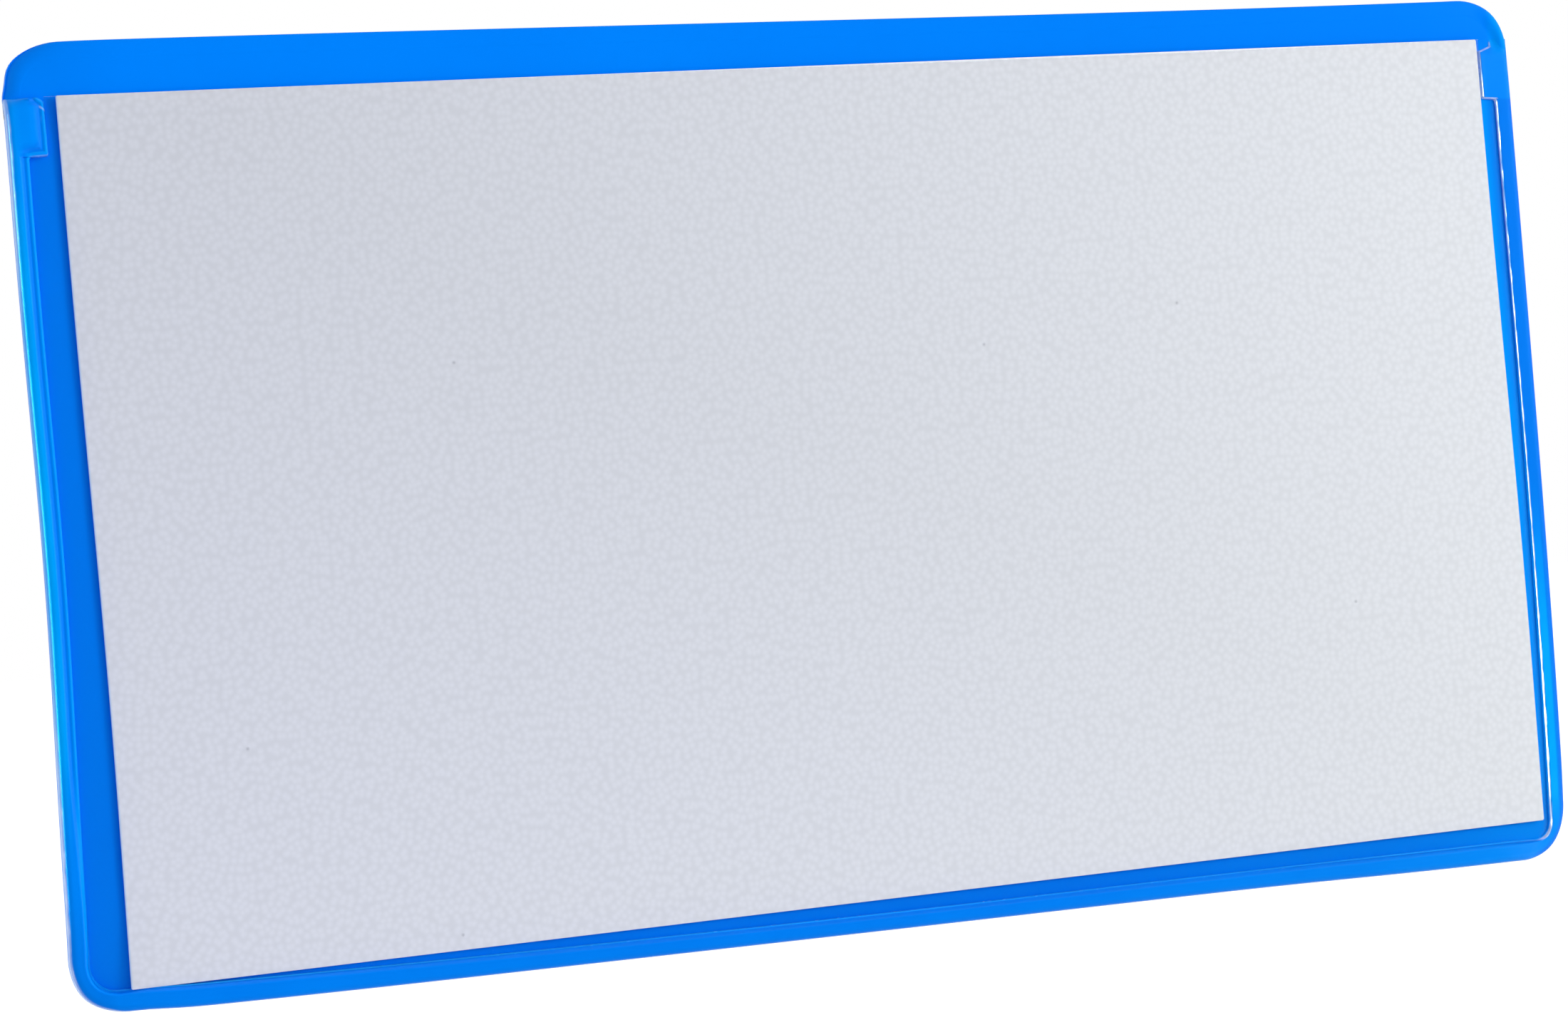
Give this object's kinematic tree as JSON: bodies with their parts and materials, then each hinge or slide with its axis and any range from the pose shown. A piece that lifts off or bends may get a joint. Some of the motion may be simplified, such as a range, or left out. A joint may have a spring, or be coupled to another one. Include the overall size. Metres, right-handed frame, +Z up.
{
  "type": "magnetic document pocket",
  "caption": "Flat landscape pocket of soft blue plastic with a welded clear front, open along the top, holding a loose white sheet and held to steel by magnetic strips on its back.",
  "frame": {"origin": "middle of the pocket's back, in the plane where the magnetic strips meet the steel they hold to", "axes": "+Z up towards the open mouth, +X to the right as seen from the front, +Y out of the back towards the steel"},
  "size_m": [0.1162, 0.0026, 0.0654],
  "materials": {
    "blue_film": "satin soft film",
    "blue_weld": "smooth welded film",
    "clear_film": "clear film with a fine anti-glare grain",
    "white_sheet": "uncoated card",
    "magnet": "matte flexible magnet",
    "tape": "adhesive transfer film"
  },
  "bodies": {
    "pocket": {"back_panel": "blue_film", "weld_seam": "blue_weld", "front_window": "clear_film", "magnet_strip_upper": "magnet", "magnet_strip_lower": "magnet", "adhesive_tape_upper": "tape", "adhesive_tape_lower": "tape"},
    "sheet": {"insert_sheet": "white_sheet"}
  },
  "joints": [
    {"name": "sheet_slide", "type": "slide", "parent": "pocket", "child": "sheet", "axis": [-0.0087, 0, 1], "range_m": [0, 0.062]}
  ]
}
